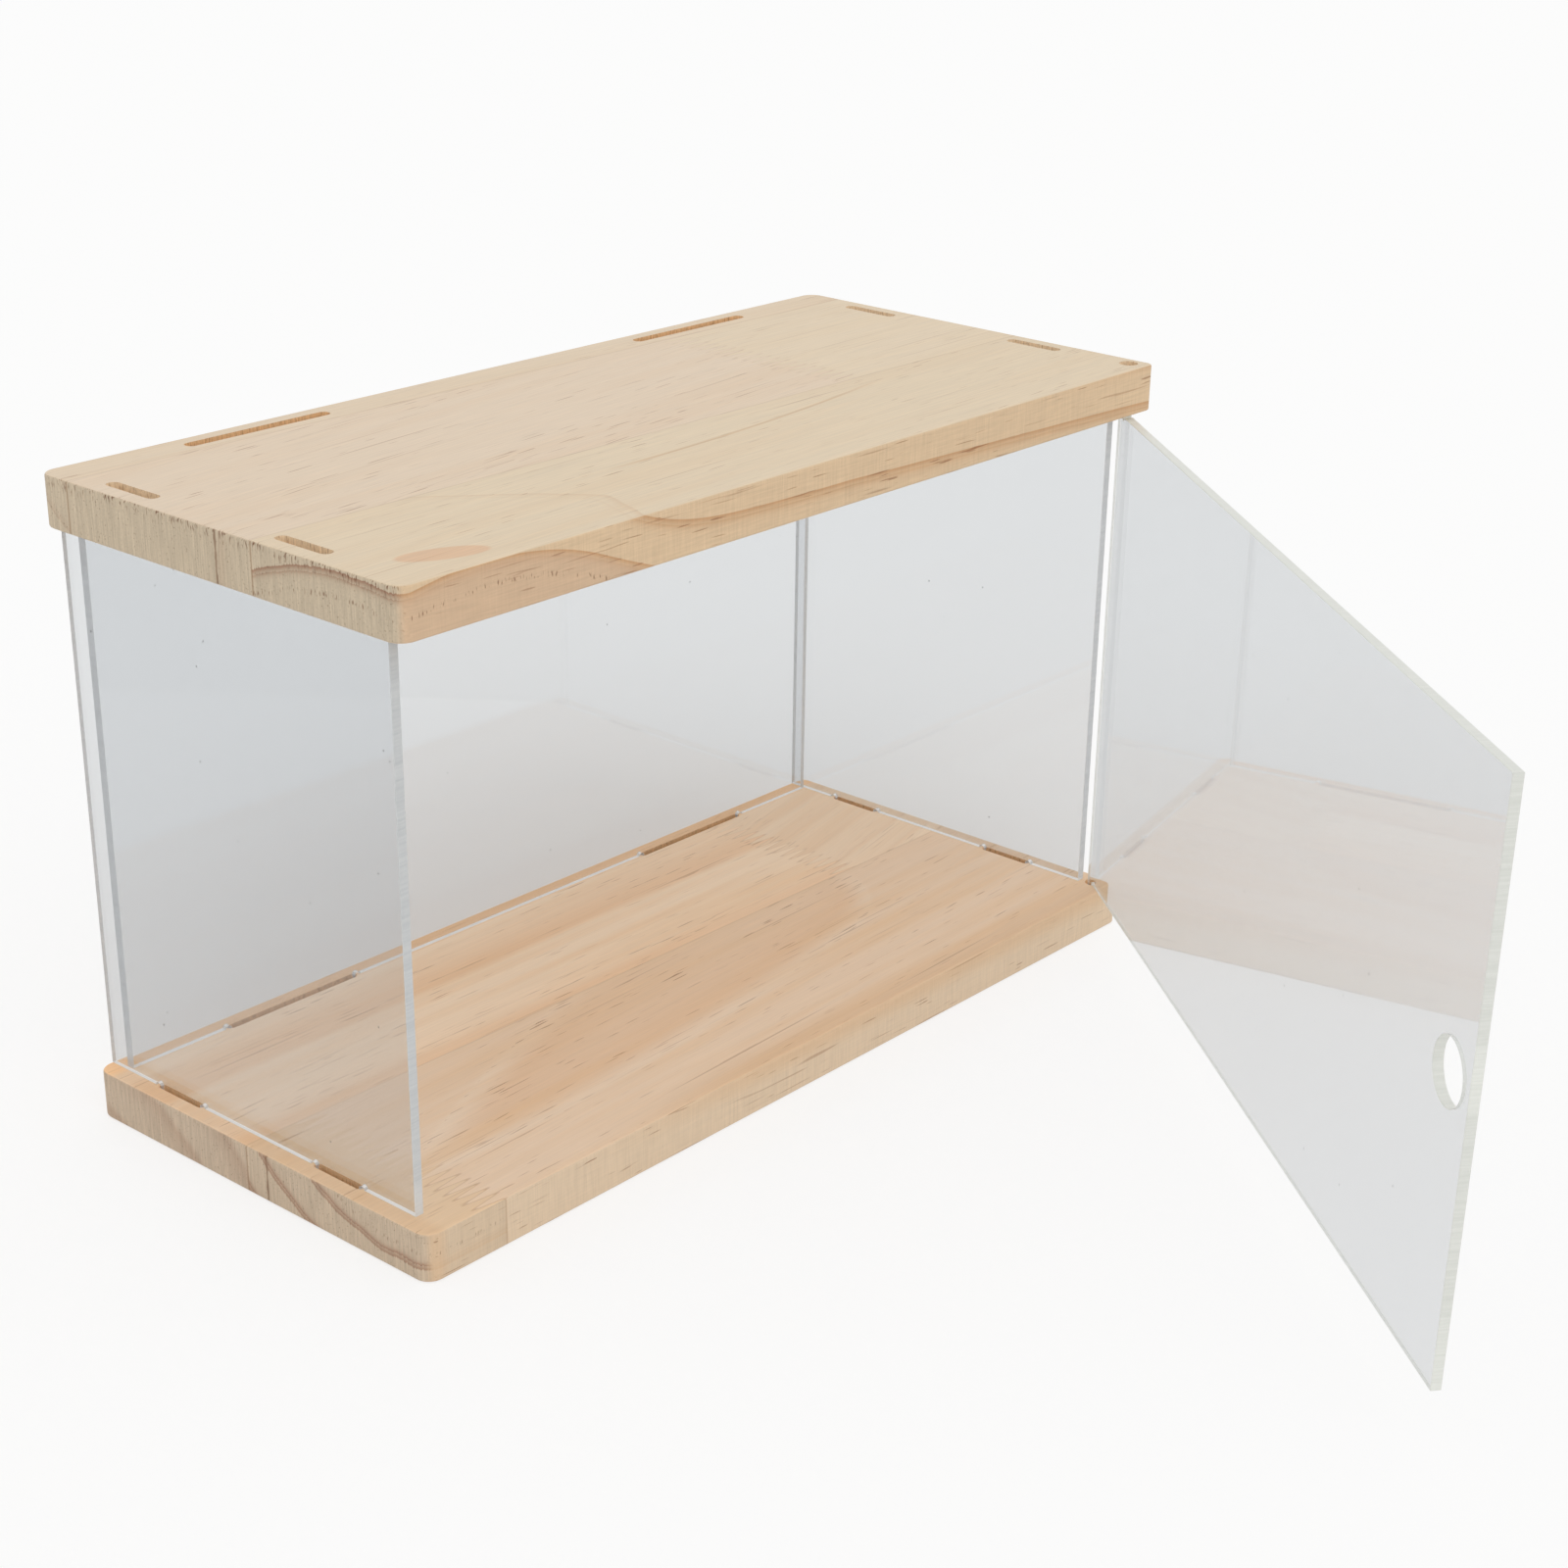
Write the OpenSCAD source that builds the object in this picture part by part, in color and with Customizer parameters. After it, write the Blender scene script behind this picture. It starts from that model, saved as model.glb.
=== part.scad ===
// Figure display case: two pine boards hold four clear sheets, and the front sheet is a door on pivot tabs.
// Each board is glued up from staves, and three staves are finger-jointed from two lengths.
// Millimetres, +Z up. The origin is the middle of the bottom board's underside, +X right, +Y to the back.
// The door is drawn standing open, as photographed.

/* [Boards] */
// Length of each board, left to right
board_w = 320; // [260:1:480]
// Depth of each board, front to back
board_d = 144; // [134:1:220]
// Thickness of each board
board_t = 15; // [12:0.5:25]
// Radius of the boards' upright corners
corner_r = 5; // [2.5:0.5:7.5]
// Radius of the upright corner beside the pivot hole, which is left almost square
pivot_corner_r = 2; // [2:0.25:2.5]
// Radius of the sanded edges round both faces of a board
edge_ease = 0.8; // [0.4:0.1:1]
// Clear height between the two boards
clear_h = 166; // [120:1:300]

/* [Staves] */
// Width of the top board's rear stave
top_rear_stave_w = 13; // [11:0.5:16]
// Glue line between the top board's middle and front staves, from the board's middle
top_front_joint = -17; // [-18.5:0.5:8]
// Glue line between the bottom board's two staves, from the board's middle
bottom_joint = 3; // [-15:0.5:25]
// Length of the top board's middle stave right of its finger joint
top_middle_right_l = 85; // [60:1:110]
// Length of the bottom board's front stave left of its finger joint
bottom_front_left_l = 24; // [20:1:60]
// Length of the bottom board's rear stave right of its finger joint
bottom_rear_right_l = 57; // [40:1:90]
// Length of the fingers
finger_joint_l = 10; // [6:0.5:12]
// Distance from one finger to the next
finger_joint_pitch = 3.8; // [3:0.1:6]
// Width of the blunt end of a finger
finger_joint_tip = 0.6; // [0.3:0.1:1.2]

/* [Clear sheets] */
// Thickness of all four sheets
sheet_t = 3; // [2:0.25:5]
// Board end to the middle of a side sheet
side_inset = 7; // [6:0.25:12]
// Board rear edge to the middle of the back sheet
back_inset = 7; // [6:0.25:12]
// Side sheets' rear edges to the boards' rear edge
side_rear_gap = 0.5; // [0.25:0.25:2]
// Back sheet's ends to the side sheets
back_end_gap = 0.5; // [0.25:0.25:2]

/* [Tabs and slots] */
// How far every tab reaches into a board
tab_reach = 10; // [6:0.5:12]
// Width of a side sheet's tab
side_tab_w = 19; // [12:0.5:21]
// Distance between a side sheet's two tabs, middle to middle
side_tab_pitch = 69; // [66:0.5:78]
// Width of a back sheet's tab
back_tab_w = 50; // [20:1:60]
// Distance between the back sheet's two tabs, middle to middle
back_tab_pitch = 180; // [120:1:230]
// Room between a tab's face and the slot wall
slot_gap = 0.5; // [0.2:0.05:0.8]
// Room between a tab's square corners and the slot's round ends, along the slot
slot_end_gap = 0.15; // [0.1:0.05:0.5]
// Radius of the round relief cut beside each tab's root
relief_r = 1; // [0.5:0.1:1.5]

/* [Door] */
// Board end to the pivot axis
pivot_end = 5.5; // [5:0.25:9]
// Board front edge to the pivot axis
pivot_front = 6; // [5:0.25:9]
// Width of the pivot tabs
pivot_tab_w = 5; // [4:0.25:6]
// Radial room for the pivot tab's corners in the pivot hole
pivot_play = 0.085; // [0.05:0.005:0.2]
// Gap between the door and the bottom board
door_gap_below = 0.4; // [0.2:0.1:1.5]
// Gap between the door and the top board
door_gap_above = 1.6; // [0.5:0.1:3]
// Gap between the closed door's face and the side sheets' front edges
door_back_gap = 3; // [2:0.25:6]
// Closed door's free edge to the boards' left end
door_end_gap = 2; // [1:0.25:8]
// Diameter of the finger hole
finger_d = 18; // [12:0.5:24]
// Sheet left between the finger hole and the free edge
finger_land = 4.5; // [3:0.25:20]
// How far the door stands open, in degrees
door_open = 51; // [0:1:240]

/* [Hidden] */
// Segments of full circles
$fn = 96;
// Overrun of a cut past the face it opens
over = 1;
// How far a relief cut bites into the tab, as a share of its radius
relief_bite = 0.3;
top_z = board_t + clear_h;
front_y = -board_d / 2;
rear_y = board_d / 2;
slot_w = sheet_t + 2 * slot_gap;
side_x = board_w / 2 - side_inset;
back_y = rear_y - back_inset;
pivot_x = board_w / 2 - pivot_end;
pivot_y = front_y + pivot_front;
pivot_hole_d = sqrt(pow(pivot_tab_w, 2) + pow(sheet_t, 2)) + 2 * pivot_play;
side_front_y = pivot_y + sheet_t / 2 + door_back_gap;
side_rear_y = rear_y - side_rear_gap;
side_len = side_rear_y - side_front_y;
side_mid_y = (side_rear_y + side_front_y) / 2;
back_len = 2 * (side_x - sheet_t / 2 - back_end_gap);
door_h = clear_h - door_gap_below - door_gap_above;
door_reach = board_w - pivot_end - door_end_gap;
finger_u = door_reach - finger_land - finger_d / 2;
top_rear_joint = rear_y - top_rear_stave_w;
top_middle_cut = board_w / 2 - top_middle_right_l;
bottom_front_cut = bottom_front_left_l - board_w / 2;
bottom_rear_cut = board_w / 2 - bottom_rear_right_l;
pine_pale = [0.87, 0.78, 0.66];
pine_warm = [0.84, 0.72, 0.57];
pine_honey = [0.85, 0.74, 0.60];
clear_tint = [0.88, 0.90, 0.90, 0.35];

// Half section of a board's edge, so deep: square inside, eased on both outer arrises
module edge_section(depth) {
    square([depth - edge_ease, board_t]);
    translate([0, edge_ease]) square([depth, board_t - 2 * edge_ease]);
    for (z = [edge_ease, board_t - edge_ease]) {
        translate([depth - edge_ease, z]) circle(r = edge_ease);
    }
}

// Straight run of eased edge, standing along +X with its outer side towards -Y
module edge_run(length) {
    rotate([90, 0, -90]) linear_extrude(height = length, center = true) edge_section(corner_r);
}

// Upright rounded corner with its eased arrises
module corner_post(radius) {
    rotate_extrude() edge_section(radius);
}

// Whole board with its underside at z = 0
module board() {
    core_w = board_w - 2 * corner_r;
    core_d = board_d - 2 * corner_r;
    // the front and right edges run on by this much to the pivot corner
    run_on = corner_r - pivot_corner_r;
    translate([-core_w / 2, -core_d / 2, 0]) cube([core_w, core_d, board_t]);
    translate([run_on / 2, -core_d / 2, 0]) edge_run(core_w + run_on);
    rotate([0, 0, 180]) translate([0, -core_d / 2, 0]) edge_run(core_w);
    translate([-core_w / 2, 0, 0]) rotate([0, 0, -90]) edge_run(core_d);
    translate([core_w / 2, -run_on / 2, 0]) rotate([0, 0, 90]) edge_run(core_d + run_on);
    for (corner = [[-1, -1], [-1, 1], [1, 1]]) {
        translate([corner[0] * core_w / 2, corner[1] * core_d / 2, 0]) corner_post(corner_r);
    }
    translate([core_w / 2 + run_on, -core_d / 2 - run_on, 0]) corner_post(pivot_corner_r);
}

// Round-ended routed slot along X; the tab's square corners stand in its round ends
module slot(tab_w) {
    straight = tab_w + 2 * slot_end_gap - sqrt(pow(slot_w, 2) - pow(sheet_t, 2));
    translate([0, 0, -over]) linear_extrude(height = board_t + 2 * over) {
        square([straight, slot_w], center = true);
        for (end = [-1, 1]) translate([end * straight / 2, 0]) circle(d = slot_w);
    }
}

// All six slots and the pivot hole, which are the same in both boards
module board_cuts() {
    for (side = [-1, 1], row = [-1, 1]) {
        translate([side * side_x, side_mid_y + row * side_tab_pitch / 2, 0])
            rotate([0, 0, 90]) slot(side_tab_w);
    }
    for (side = [-1, 1]) translate([side * back_tab_pitch / 2, back_y, 0]) slot(back_tab_w);
    translate([pivot_x, pivot_y, -over]) cylinder(d = pivot_hole_d, h = board_t + 2 * over);
}

// The strip of a board between two lines; the strip runs past the board's own front and rear edges
module stave(from_y, to_y) {
    low_y = from_y <= front_y ? from_y - over : from_y;
    high_y = to_y >= rear_y ? to_y + over : to_y;
    difference() {
        intersection() {
            board();
            translate([-board_w, low_y, -over]) cube([2 * board_w, high_y - low_y, board_t + 2 * over]);
        }
        board_cuts();
    }
}

// Corner points of one finger, from its blunt root to its blunt tip
function finger(cut_x, y) = [
    [cut_x - finger_joint_l / 2, y],
    [cut_x - finger_joint_l / 2, y + finger_joint_tip],
    [cut_x + finger_joint_l / 2, y + finger_joint_pitch / 2],
    [cut_x + finger_joint_l / 2, y + finger_joint_pitch / 2 + finger_joint_tip]
];

// Zigzag of fingers from front to back; a finger's tip stands in the middle of the front edge line
function finger_line(from_y, to_y, cut_x) = [
    for (k = [0 : ceil((to_y - from_y) / finger_joint_pitch) + 1])
        each finger(cut_x, from_y - (finger_joint_pitch + finger_joint_tip) / 2 + k * finger_joint_pitch)
];

// One of the two finger-jointed lengths of a stave: the left one for -1, the right one for +1
module block(from_y, to_y, cut_x, side) {
    line = finger_line(from_y, to_y, cut_x);
    far_x = side * board_w;
    intersection() {
        stave(from_y, to_y);
        translate([0, 0, -over]) linear_extrude(height = board_t + 2 * over)
            polygon(concat(line, [[far_x, line[len(line) - 1][1]], [far_x, line[0][1]]]));
    }
}

// Relief cuts beside a tab of a given width, at a shoulder line
module tab_reliefs(tab_w) {
    for (end = [-1, 1]) translate([end * (tab_w / 2 + relief_r * (1 - relief_bite)), 0]) circle(r = relief_r);
}

// Outline of a fixed sheet: middle of its lower shoulder line at 0, two tabs above and two below
module tabbed_outline(length, tab_w, pitch) {
    difference() {
        union() {
            translate([-length / 2, 0]) square([length, clear_h]);
            for (end = [-1, 1]) {
                translate([end * pitch / 2 - tab_w / 2, -tab_reach]) square([tab_w, clear_h + 2 * tab_reach]);
            }
        }
        for (end = [-1, 1], line = [0, clear_h]) translate([end * pitch / 2, line]) tab_reliefs(tab_w);
    }
}

// Outline of the door: pivot axis on the line 0, free edge towards +X, lower edge at 0
module door_outline() {
    difference() {
        union() {
            translate([-pivot_tab_w / 2, 0]) square([pivot_tab_w / 2 + door_reach, door_h]);
            translate([-pivot_tab_w / 2, -door_gap_below - tab_reach])
                square([pivot_tab_w, clear_h + 2 * tab_reach]);
        }
        for (line = [0, door_h]) {
            translate([pivot_tab_w / 2 + relief_r * (1 - relief_bite), line]) circle(r = relief_r);
        }
        translate([finger_u, door_h / 2]) circle(d = finger_d);
    }
}

// Side sheet standing on the bottom board, its middle plane at x
module side_sheet(x) {
    translate([x, side_mid_y, board_t]) rotate([90, 0, 90])
        linear_extrude(height = sheet_t, center = true) tabbed_outline(side_len, side_tab_w, side_tab_pitch);
}

// Top board, narrow stave along the rear edge
module top_rear_stave() {
    color(pine_warm) translate([0, 0, top_z]) stave(top_rear_joint, rear_y);
}

// Top board, long left part of the wide stave between the two glue lines
module top_middle_left() {
    color(pine_pale) translate([0, 0, top_z]) block(top_front_joint, top_rear_joint, top_middle_cut, -1);
}

// Top board, short right part of the wide stave
module top_middle_right() {
    color(pine_warm) translate([0, 0, top_z]) block(top_front_joint, top_rear_joint, top_middle_cut, 1);
}

// Top board, front stave with the upper pivot hole
module top_front_stave() {
    color(pine_honey) translate([0, 0, top_z]) stave(front_y, top_front_joint);
}

// Bottom board, long left part of the rear stave
module bottom_rear_left() {
    color(pine_warm) block(bottom_joint, rear_y, bottom_rear_cut, -1);
}

// Bottom board, short right part of the rear stave
module bottom_rear_right() {
    color(pine_pale) block(bottom_joint, rear_y, bottom_rear_cut, 1);
}

// Bottom board, short left part of the front stave
module bottom_front_left() {
    color(pine_pale) block(front_y, bottom_joint, bottom_front_cut, -1);
}

// Bottom board, long right part of the front stave, with the lower pivot hole
module bottom_front_right() {
    color(pine_honey) block(front_y, bottom_joint, bottom_front_cut, 1);
}

// Left side sheet
module left_panel() {
    color(clear_tint) side_sheet(-side_x);
}

// Right side sheet
module right_panel() {
    color(clear_tint) side_sheet(side_x);
}

// Back sheet between the side sheets
module back_panel() {
    color(clear_tint) translate([0, back_y, board_t]) rotate([90, 0, 0])
        linear_extrude(height = sheet_t, center = true) tabbed_outline(back_len, back_tab_w, back_tab_pitch);
}

// Door on its pivot axis; at 0 degrees it lies along the front with its free edge to the left
module door() {
    color(clear_tint) translate([pivot_x, pivot_y, board_t + door_gap_below]) rotate([0, 0, 180 + door_open])
        rotate([90, 0, 0]) linear_extrude(height = sheet_t, center = true) door_outline();
}

top_rear_stave();
top_middle_left();
top_middle_right();
top_front_stave();
bottom_rear_left();
bottom_rear_right();
bottom_front_left();
bottom_front_right();
left_panel();
right_panel();
back_panel();
door();
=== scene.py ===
import math

import bmesh
import bpy
from mathutils import Matrix


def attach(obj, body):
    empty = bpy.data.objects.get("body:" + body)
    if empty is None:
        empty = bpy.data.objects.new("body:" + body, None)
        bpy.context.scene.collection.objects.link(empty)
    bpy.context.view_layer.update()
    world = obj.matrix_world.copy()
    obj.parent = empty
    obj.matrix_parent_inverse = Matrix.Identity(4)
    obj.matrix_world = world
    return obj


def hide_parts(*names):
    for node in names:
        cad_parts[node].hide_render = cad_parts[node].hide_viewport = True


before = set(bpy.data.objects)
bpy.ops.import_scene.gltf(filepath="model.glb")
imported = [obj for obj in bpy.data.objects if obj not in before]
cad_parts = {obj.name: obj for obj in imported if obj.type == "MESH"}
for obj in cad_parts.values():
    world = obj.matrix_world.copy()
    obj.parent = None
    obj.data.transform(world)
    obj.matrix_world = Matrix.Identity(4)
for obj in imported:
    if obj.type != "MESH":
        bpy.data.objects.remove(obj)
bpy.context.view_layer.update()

# Camera: it looks down past the case's left front corner, as in the photograph.
# The frame sits a little off the lens axis, so the lens is shifted by that much.
photo_lens = bpy.data.cameras.new("photo_camera")
photo_lens.sensor_width = 36.0
photo_lens.lens = 64.29
photo_lens.shift_x = -0.03125
photo_lens.shift_y = 0.09375
photo_lens.clip_end = 100.0
photo_camera = bpy.data.objects.new("photo_camera", photo_lens)
photo_camera.location = (-0.58579, -0.56208, 0.40637)
photo_camera.rotation_euler = [math.radians(a) for a in (65.0445, -1.2833, -49.7960)]
bpy.context.scene.collection.objects.link(photo_camera)
bpy.context.scene.camera = photo_camera

# Bottom board: a 15 mm panel of pine, edge-glued from two staves, each finger-jointed from two lengths,
# then routed, rounded at the corners and sanded. The wood is bare, so it stays matt and pale.
# The sheets' tabs stand in its six slots, and the door's lower pivot tab in its round hole. Sizes are in mm.
BOARD_W = 320.0
BOARD_D = 144.0
BOARD_T = 15.0
CLEAR_H = 166.0
FINGER_L = 10.0
FINGER_PITCH = 3.8
FINGER_TIP = 0.6
MM_PER_M = 1000.0
# a pattern stretched this much in Z is the same at every height
ANY_HEIGHT = 1e6
# darker colours that all the staves share
RESIN = "#84491F"
TORN_RING = "#8C573A"
TORN_FLECK = "#70492F"
PORE = "#6B4C36"
SPLIT = "#7A573C"
CANAL = "#6F4529"
BURR = "#8A5A32"
GLUE_LINE = "#8E6846"
FINGER_GLUE = "#9A683E"


def linear(code):
    """An sRGB hex colour as linear red, green, blue and alpha."""
    parts = [int(code[i:i + 2], 16) / 255 for i in (1, 3, 5)]
    return [c / 12.92 if c <= 0.04045 else ((c + 0.055) / 1.055) ** 2.4 for c in parts] + [1.0]


def add(tree, kind, feeds=(), **settings):
    """Adds one shader node with its settings; each feed is a node, a socket, a plain value or None."""
    made = tree.nodes.new("ShaderNode" + kind)
    for key, value in settings.items():
        setattr(made, key, value)
    shown = [s for s in made.inputs if s.enabled]
    for key, feed in feeds.items() if isinstance(feeds, dict) else enumerate(feeds):
        socket = made.inputs[key] if isinstance(key, str) else shown[key]
        if isinstance(feed, bpy.types.Node):
            feed = next(s for s in feed.outputs if s.enabled)
        if isinstance(feed, bpy.types.NodeSocket):
            tree.links.new(feed, socket)
        elif feed is not None:
            socket.default_value = feed
    return made


def blank_material(name):
    """A new material with an empty node tree, and that tree."""
    material = bpy.data.materials.new(name)
    material.use_nodes = True
    material.node_tree.nodes.clear()
    return material, material.node_tree


def object_mm(tree):
    """The shaded point's place on its piece, in mm."""
    return add(tree, "VectorMath", [add(tree, "TexCoord").outputs["Object"], MM_PER_M], operation="SCALE")


def round_rings(pith, lean=(0.0, 0.0)):
    """Growth rings round a pith line along X at (y, z) mm, which leans by so many mm a mm of length."""
    def distance(tree, mm):
        x, y, z = add(tree, "SeparateXYZ", [mm]).outputs
        across = add(tree, "Math", [x, -lean[0], y], operation="MULTIPLY_ADD")
        height = add(tree, "Math", [x, -lean[1], z], operation="MULTIPLY_ADD")
        section = add(tree, "CombineXYZ", [0.0, across, height])
        return add(tree, "VectorMath", [section, (0.0, *pith)], operation="DISTANCE")
    return distance


def pine(name, rings, ring_at, spacing, tones, lines, finish, streak, dash, seed, run, glue, checks=(), tints_and_painted_light=(),
         wander=5.0, fall=0.3, dots=None, joint=None):
    """Bare pine. Wide faces are sanded smooth and pale, with thin ring lines, fibres and short resin dashes along
    X; long edges are warmer, with fine upright planer marks; ends are greyer and rough from the saw, with torn
    rings and flecks under the upper edge; routed walls are golden, and painted lighter to offset the shade in the
    slots. The main ring lies at ring_at mm and the next ones spacing mm apart; rings wander by so many mm and fade
    outward in fall mm. lines gives faces, edges and ends their rings' share, sharpness and the share of a fainter
    ring just inside. streak and dash are how strongly warm bands and resin show, along grain that runs so many
    degrees off X. glue and checks are the y of glue lines and of splits in the ends, and tints_and_painted_light
    are
    pairs of a share and a colour: wood tones, and on the rear strip also painted light. dots is how far off the
    main ring a dotted line of resin canals runs on edges and ends, and how strongly. joint is where a finger joint
    is cut, from which y to which its glue shows, and how strongly."""
    material, tree = blank_material(name)
    mm = object_mm(tree)
    # feature sizes in mm along the grain, across it and up; real fibres and resin canals are under 0.3 mm wide,
    # so both are drawn coarser here, to show
    clouds = {}
    for key, size, detail in (
        ("drift", (110.0, 16.0, 16.0), 1.0),
        ("streak", (170.0, 9.0, 9.0), 2.0),
        ("patch", (60.0, 14.0, 14.0), 1.0),
        ("fibre", (22.0, 0.55, 0.55), 3.0),
        ("dash", (13.0, 0.65, 0.65), 0.5),
        ("thread", (95.0, 1.0, 1.0), 0.5),
        ("saw", (0.55, 0.55, 11.0), 3.0),
        ("tear", (0.6, 0.6, 2.6), 1.0),
        ("pore", (0.8, 0.7, 0.7), 1.0),
    ):
        place = add(tree, "Mapping", {
            "Vector": mm, "Location": seed, "Rotation": (0.0, 0.0, math.radians(run)), "Scale": size,
        }, vector_type="TEXTURE")
        clouds[key] = add(tree, "TexNoise", {"Vector": place, "Scale": 1.0, "Detail": detail, "Roughness": 0.55})
    x, y, z = add(tree, "SeparateXYZ", [mm]).outputs
    normal = add(tree, "SeparateXYZ", [add(tree, "NewGeometry").outputs["Normal"]]).outputs
    endwise = add(tree, "Math", [normal["X"]], operation="ABSOLUTE")
    upward = add(tree, "Math", [normal["Z"]], operation="ABSOLUTE")
    sawn = add(tree, "MapRange", [endwise, 0.45, 0.9, 0.0, 1.0], interpolation_type="SMOOTHSTEP")
    flat = add(tree, "MapRange", [upward, 0.45, 0.85, 0.0, 1.0], interpolation_type="SMOOTHSTEP")
    # rings, jagged by up to 0.8 mm where the saw tore across them, and a fainter one 1.7 mm inside each
    jag_mm = 1.6
    inside_mm = 1.7
    main_at = ring_at + wander / 2
    distance = add(tree, "Math", [clouds["drift"], wander, rings(tree, mm)], operation="MULTIPLY_ADD")
    chatter = add(tree, "Math", [clouds["saw"], -0.5], operation="ADD")
    jag = add(tree, "Math", [chatter, sawn], operation="MULTIPLY")
    torn = add(tree, "Math", [jag, jag_mm, distance], operation="MULTIPLY_ADD")
    years = add(tree, "Math", [torn, 1.0 / spacing, -main_at / spacing], operation="MULTIPLY_ADD")
    year = add(tree, "Math", [years], operation="FRACT")
    earlier = add(tree, "Math", [years, inside_mm / spacing], operation="ADD")
    echo = add(tree, "Math", [earlier], operation="FRACT")
    fading = add(tree, "MapRange", [year, 1.0 - fall / spacing, 1.0, 1.0, 0.0], interpolation_type="SMOOTHSTEP")
    ring = {}
    for part, (share, power, twin) in lines.items():
        main = add(tree, "Math", [year, power], operation="POWER")
        soft = add(tree, "Math", [main, fading], operation="MULTIPLY")
        faint = add(tree, "Math", [echo, 2.0 * power], operation="POWER")
        both = add(tree, "Math", [faint, twin, soft], operation="MULTIPLY_ADD")
        ring[part] = add(tree, "Math", [both, share], operation="MULTIPLY", use_clamp=True)
    # wide faces and long edges
    face = add(tree, "Mix", [ring["flat"], linear(tones["early"]), linear(tones["late"])], data_type="RGBA")
    bands = add(tree, "MapRange", [clouds["streak"], 0.42, 0.72, 0.0, streak])
    face = add(tree, "Mix", [bands, face, linear(tones["warm"])], data_type="RGBA")
    edge = add(tree, "Mix", [ring["side"], linear(tones["side"]), linear(tones["late"])], data_type="RGBA")
    planed = add(tree, "MapRange", [clouds["saw"], 0.30, 0.70, 0.94, 1.05])
    edge = add(tree, "VectorMath", [edge, planed], operation="SCALE")
    grain = add(tree, "Mix", [flat, edge, face], data_type="RGBA")
    # each tint mixes in a colour by its share: mostly wood tones, and on the rear strip also painted light
    for tint_share, tone in tints_and_painted_light:
        grain = add(tree, "Mix", [tint_share(tree, mm), grain, linear(tone)], data_type="RGBA")
    # resin dashes crowd in the dark late wood
    lateness = add(tree, "Math", [year, 6.0], operation="POWER")
    thick = add(tree, "Math", [lateness, finish["resin"], clouds["dash"]], operation="MULTIPLY_ADD")
    dashes = add(tree, "MapRange", [thick, 0.71, 0.76, 0.0, 1.0])
    crowd = add(tree, "MapRange", [clouds["patch"], 0.35, 0.65, 0.15 * dash, dash])
    dash_share = add(tree, "Math", [dashes, crowd], operation="MULTIPLY")
    long_lines = add(tree, "MapRange", [clouds["thread"], 0.72, 0.78, 0.0, 0.6 * dash])
    dark_share = add(tree, "Math", [dash_share, long_lines], operation="MAXIMUM")
    grain = add(tree, "Mix", [dark_share, grain, linear(RESIN)], data_type="RGBA")
    # sawn ends; both boards' heights are counted from their own undersides
    end = add(tree, "Mix", [ring["end"], linear(tones["end"]), linear(TORN_RING)], data_type="RGBA")
    level = add(tree, "Math", [z, BOARD_T + CLEAR_H - 0.1], operation="MODULO")
    near_top = add(tree, "MapRange", [level, BOARD_T - 4.0, BOARD_T - 0.5, 0.0, finish["flecks"]])
    flecks = add(tree, "MapRange", [clouds["tear"], 0.57, 0.66, 0.0, 1.0])
    fleck_share = add(tree, "Math", [flecks, near_top], operation="MULTIPLY")
    end = add(tree, "Mix", [fleck_share, end, linear(TORN_FLECK)], data_type="RGBA")
    pores = add(tree, "MapRange", [clouds["pore"], 0.66, 0.74, 0.0, 0.45])
    end = add(tree, "Mix", [pores, end, linear(PORE)], data_type="RGBA")
    for line_y in checks:
        off = add(tree, "Math", [clouds["tear"], 0.9, add(tree, "Math", [y, -line_y - 0.45], operation="ADD")],
                  operation="MULTIPLY_ADD")
        split = add(tree, "MapRange", [add(tree, "Math", [off], operation="ABSOLUTE"), 0.2, 0.6, 0.7, 0.0])
        end = add(tree, "Mix", [split, end, linear(SPLIT)], data_type="RGBA")
    marks = add(tree, "MapRange", [clouds["saw"], 0.30, 0.70, 0.84, 1.13])
    end = add(tree, "VectorMath", [end, marks], operation="SCALE")
    colour = add(tree, "Mix", [sawn, grain, end], data_type="RGBA")
    upright = add(tree, "Math", [1.0, flat], operation="SUBTRACT")
    if dots:
        off = add(tree, "Math", [torn, -(main_at + dots[0])], operation="ADD")
        line = add(tree, "MapRange", [add(tree, "Math", [off], operation="ABSOLUTE"), 0.3, 1.0, dots[1], 0.0])
        canals = add(tree, "MapRange", [clouds["tear"], 0.58, 0.66, 0.0, 1.0])
        dotted = add(tree, "Math", [add(tree, "Math", [line, canals], operation="MULTIPLY"), upright],
                     operation="MULTIPLY")
        colour = add(tree, "Mix", [dotted, colour, linear(CANAL)], data_type="RGBA")
    # slot and pivot hole walls stand inside the board's outline
    off_x = add(tree, "Math", [x], operation="ABSOLUTE")
    off_y = add(tree, "Math", [y], operation="ABSOLUTE")
    within_x = add(tree, "Math", [off_x, BOARD_W / 2 - 2.1], operation="LESS_THAN")
    within_y = add(tree, "Math", [off_y, BOARD_D / 2 - 2.4], operation="LESS_THAN")
    within = add(tree, "Math", [within_x, within_y], operation="MULTIPLY")
    routed = add(tree, "Math", [within, upright], operation="MULTIPLY")
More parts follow.
